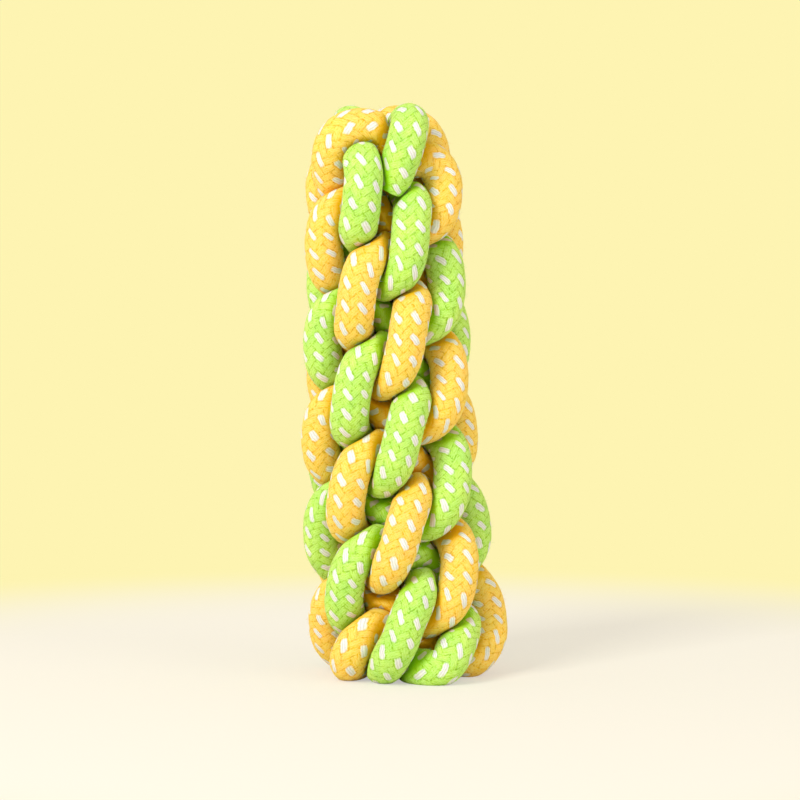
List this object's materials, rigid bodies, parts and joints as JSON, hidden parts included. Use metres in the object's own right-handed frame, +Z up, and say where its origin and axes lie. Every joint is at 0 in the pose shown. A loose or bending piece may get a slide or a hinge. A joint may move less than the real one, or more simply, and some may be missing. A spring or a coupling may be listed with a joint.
{
  "type": "rope dog toy",
  "caption": "Stick-shaped tug toy for a dog, knotted in a round crown sinnet from a lime green and a warm orange cotton cord.",
  "frame": {"origin": "on the floor in the middle of the foot, where the orange cord passes under the green one", "axes": "+Z up along the standing stick, +X to the right and -Y towards the viewer of its front; the stick leans about 3 degrees towards -X"},
  "size_m": [0.0643, 0.0679, 0.1783],
  "materials": {
    "orange_cord": "soft braided cotton with white flecks",
    "green_cord": "soft braided cotton with white flecks"
  },
  "bodies": {
    "root": {"orange_cord": "orange_cord", "green_cord": "green_cord"}
  },
  "joints": []
}
